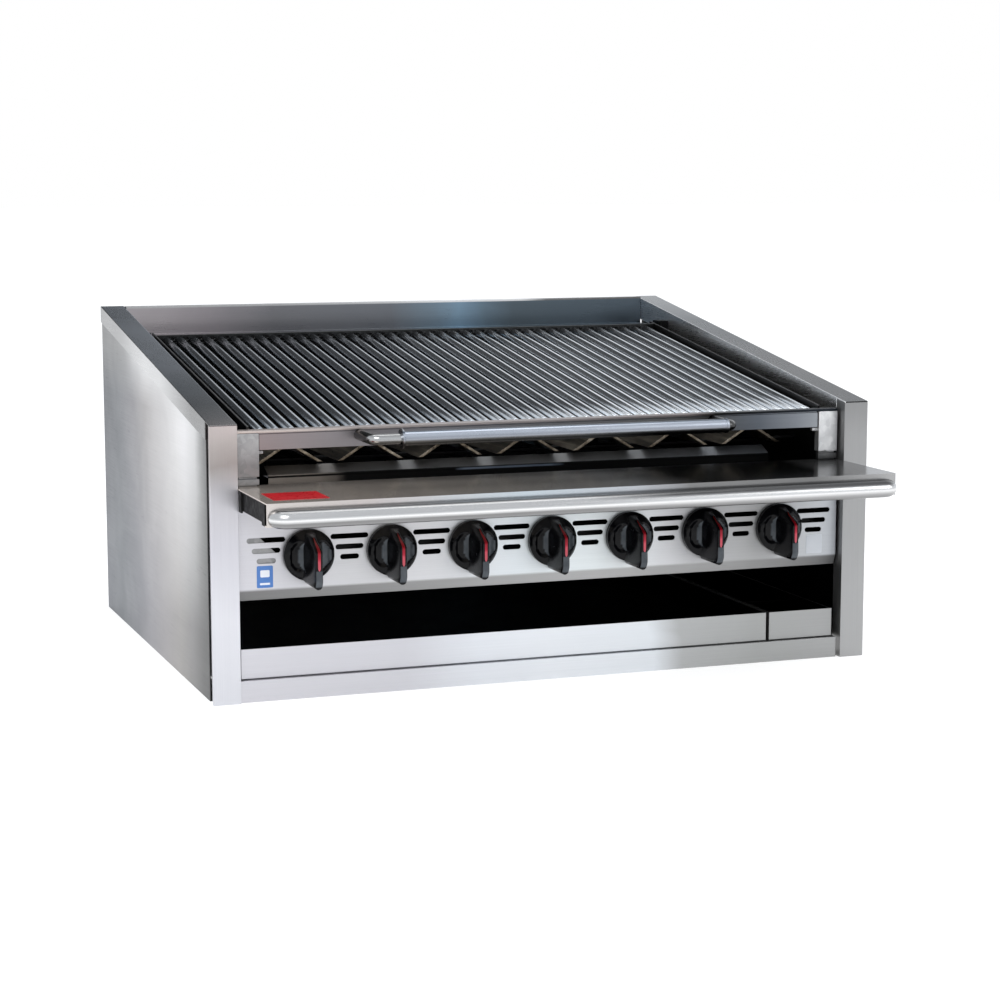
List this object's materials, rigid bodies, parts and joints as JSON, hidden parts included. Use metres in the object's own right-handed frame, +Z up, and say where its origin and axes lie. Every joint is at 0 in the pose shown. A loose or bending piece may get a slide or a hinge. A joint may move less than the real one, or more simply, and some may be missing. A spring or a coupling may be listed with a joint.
{
  "type": "charbroiler grill",
  "caption": "Countertop gas charbroiler with a sloping lift-up rod grid, V-shaped radiants over tube burners, front ledge, control knobs and pull-out drip trays.",
  "frame": {"origin": "centre of the overall footprint at the level the base stands on", "axes": "+X to the right seen from the front, +Y towards the rear, +Z up; the knobs face -Y"},
  "size_m": [0.9144, 0.8846, 0.4612],
  "materials": {
    "brushed_steel": "brushed stainless",
    "dark_brushed_steel": "brushed stainless, dark reflection",
    "mirror_steel": "mirror-polished stainless",
    "galvanised_steel": "galvanised, dull",
    "grid_rod_steel": "plated round bar",
    "heat_tanned_steel": "heat-tanned stainless",
    "cast_iron": "raw cast iron",
    "black_pipe": "black pipe",
    "brass": "machined",
    "regulator_aluminium": "die-cast",
    "handle_steel": "polished",
    "label_plate": "blank enamelled foil plates, red, blue and pale grey",
    "knob_plastic": "glossy black with a red pointer line"
  },
  "bodies": {
    "casing": {"left_side_panel": "brushed_steel", "right_side_panel": "brushed_steel", "left_inner_wall": "brushed_steel", "right_inner_wall": "brushed_steel", "left_top_cap": "dark_brushed_steel", "right_top_cap": "brushed_steel", "left_front_post": "brushed_steel", "right_front_post": "brushed_steel", "rear_panel": "brushed_steel", "rear_splash": "dark_brushed_steel", "base_frame": "galvanised_steel", "base_front_rail": "brushed_steel", "firebox_front_wall": "mirror_steel", "firebox_rear_wall": "galvanised_steel", "radiant_rails": "galvanised_steel", "radiants": "heat_tanned_steel", "burners": "cast_iron", "control_panel": "brushed_steel", "front_ledge": "mirror_steel", "left_ledge_end_cap": "galvanised_steel", "right_ledge_end_cap": "brushed_steel", "ledge_arms": "galvanised_steel", "ledge_bumper": "mirror_steel", "left_grid_bracket": "galvanised_steel", "right_grid_bracket": "brushed_steel", "grid_hinge_brackets": "galvanised_steel", "gas_manifold": "black_pipe", "gas_valves": "brass", "gas_supply_pipe": "black_pipe", "gas_regulator": "regulator_aluminium", "gas_inlet_nipple": "black_pipe", "pilot_tubes": "regulator_aluminium", "tray_runners": "galvanised_steel", "panel_screws": "galvanised_steel", "panel_gusset": "galvanised_steel", "label_plates": "label_plate"},
    "lifting_grid": {"grid_rods": "grid_rod_steel", "grid_front_rail": "brushed_steel", "grid_rear_rail": "galvanised_steel", "grid_side_rails": "galvanised_steel", "grid_pivot_pins": "grid_rod_steel", "handle_rod": "handle_steel"},
    "handle_grip": {"handle_grip": "handle_steel"},
    "drip_tray": {"drip_tray": "brushed_steel"},
    "grease_box": {"grease_box": "brushed_steel"},
    "grease_box_bail": {"grease_box_bail": "galvanised_steel"},
    "knob_1": {"knob_1": "knob_plastic", "valve_stem_1": "brass"},
    "knob_2": {"knob_2": "knob_plastic", "valve_stem_2": "brass"},
    "knob_3": {"knob_3": "knob_plastic", "valve_stem_3": "brass"},
    "knob_4": {"knob_4": "knob_plastic", "valve_stem_4": "brass"},
    "knob_5": {"knob_5": "knob_plastic", "valve_stem_5": "brass"},
    "knob_6": {"knob_6": "knob_plastic", "valve_stem_6": "brass"},
    "knob_7": {"knob_7": "knob_plastic", "valve_stem_7": "brass"}
  },
  "joints": [
    {"name": "grid_lift", "type": "hinge", "parent": "casing", "child": "lifting_grid", "pos_m": [0, 0.32562, 0.41617], "axis": [-1, 0, 0], "range_deg": [0, 50]},
    {"name": "handle_grip_spin", "type": "hinge", "parent": "lifting_grid", "child": "handle_grip", "pos_m": [0, -0.32275, 0.3328], "axis": [1, 0, 0], "continuous": true},
    {"name": "drip_tray_slide", "type": "slide", "parent": "casing", "child": "drip_tray", "axis": [0, -1, 0], "range_m": [0, 0.45]},
    {"name": "grease_box_slide", "type": "slide", "parent": "casing", "child": "grease_box", "axis": [0, -1, 0], "range_m": [0, 0.45]},
    {"name": "grease_box_bail_swing", "type": "hinge", "parent": "grease_box", "child": "grease_box_bail", "pos_m": [0.365, -0.21775, 0.062], "axis": [1, 0, 0], "range_deg": [0, 85]},
    {"name": "knob_1_turn", "type": "hinge", "parent": "casing", "child": "knob_1", "pos_m": [-0.33, -0.27775, 0.184], "axis": [0, -1, 0], "range_deg": [0, 90]},
    {"name": "knob_2_turn", "type": "hinge", "parent": "casing", "child": "knob_2", "pos_m": [-0.22, -0.27775, 0.184], "axis": [0, -1, 0], "range_deg": [0, 90]},
    {"name": "knob_3_turn", "type": "hinge", "parent": "casing", "child": "knob_3", "pos_m": [-0.11, -0.27775, 0.184], "axis": [0, -1, 0], "range_deg": [0, 90]},
    {"name": "knob_4_turn", "type": "hinge", "parent": "casing", "child": "knob_4", "pos_m": [0, -0.27775, 0.184], "axis": [0, -1, 0], "range_deg": [0, 90]},
    {"name": "knob_5_turn", "type": "hinge", "parent": "casing", "child": "knob_5", "pos_m": [0.11, -0.27775, 0.184], "axis": [0, -1, 0], "range_deg": [0, 90]},
    {"name": "knob_6_turn", "type": "hinge", "parent": "casing", "child": "knob_6", "pos_m": [0.22, -0.27775, 0.184], "axis": [0, -1, 0], "range_deg": [0, 90]},
    {"name": "knob_7_turn", "type": "hinge", "parent": "casing", "child": "knob_7", "pos_m": [0.33, -0.27775, 0.184], "axis": [0, -1, 0], "range_deg": [0, 90]}
  ]
}
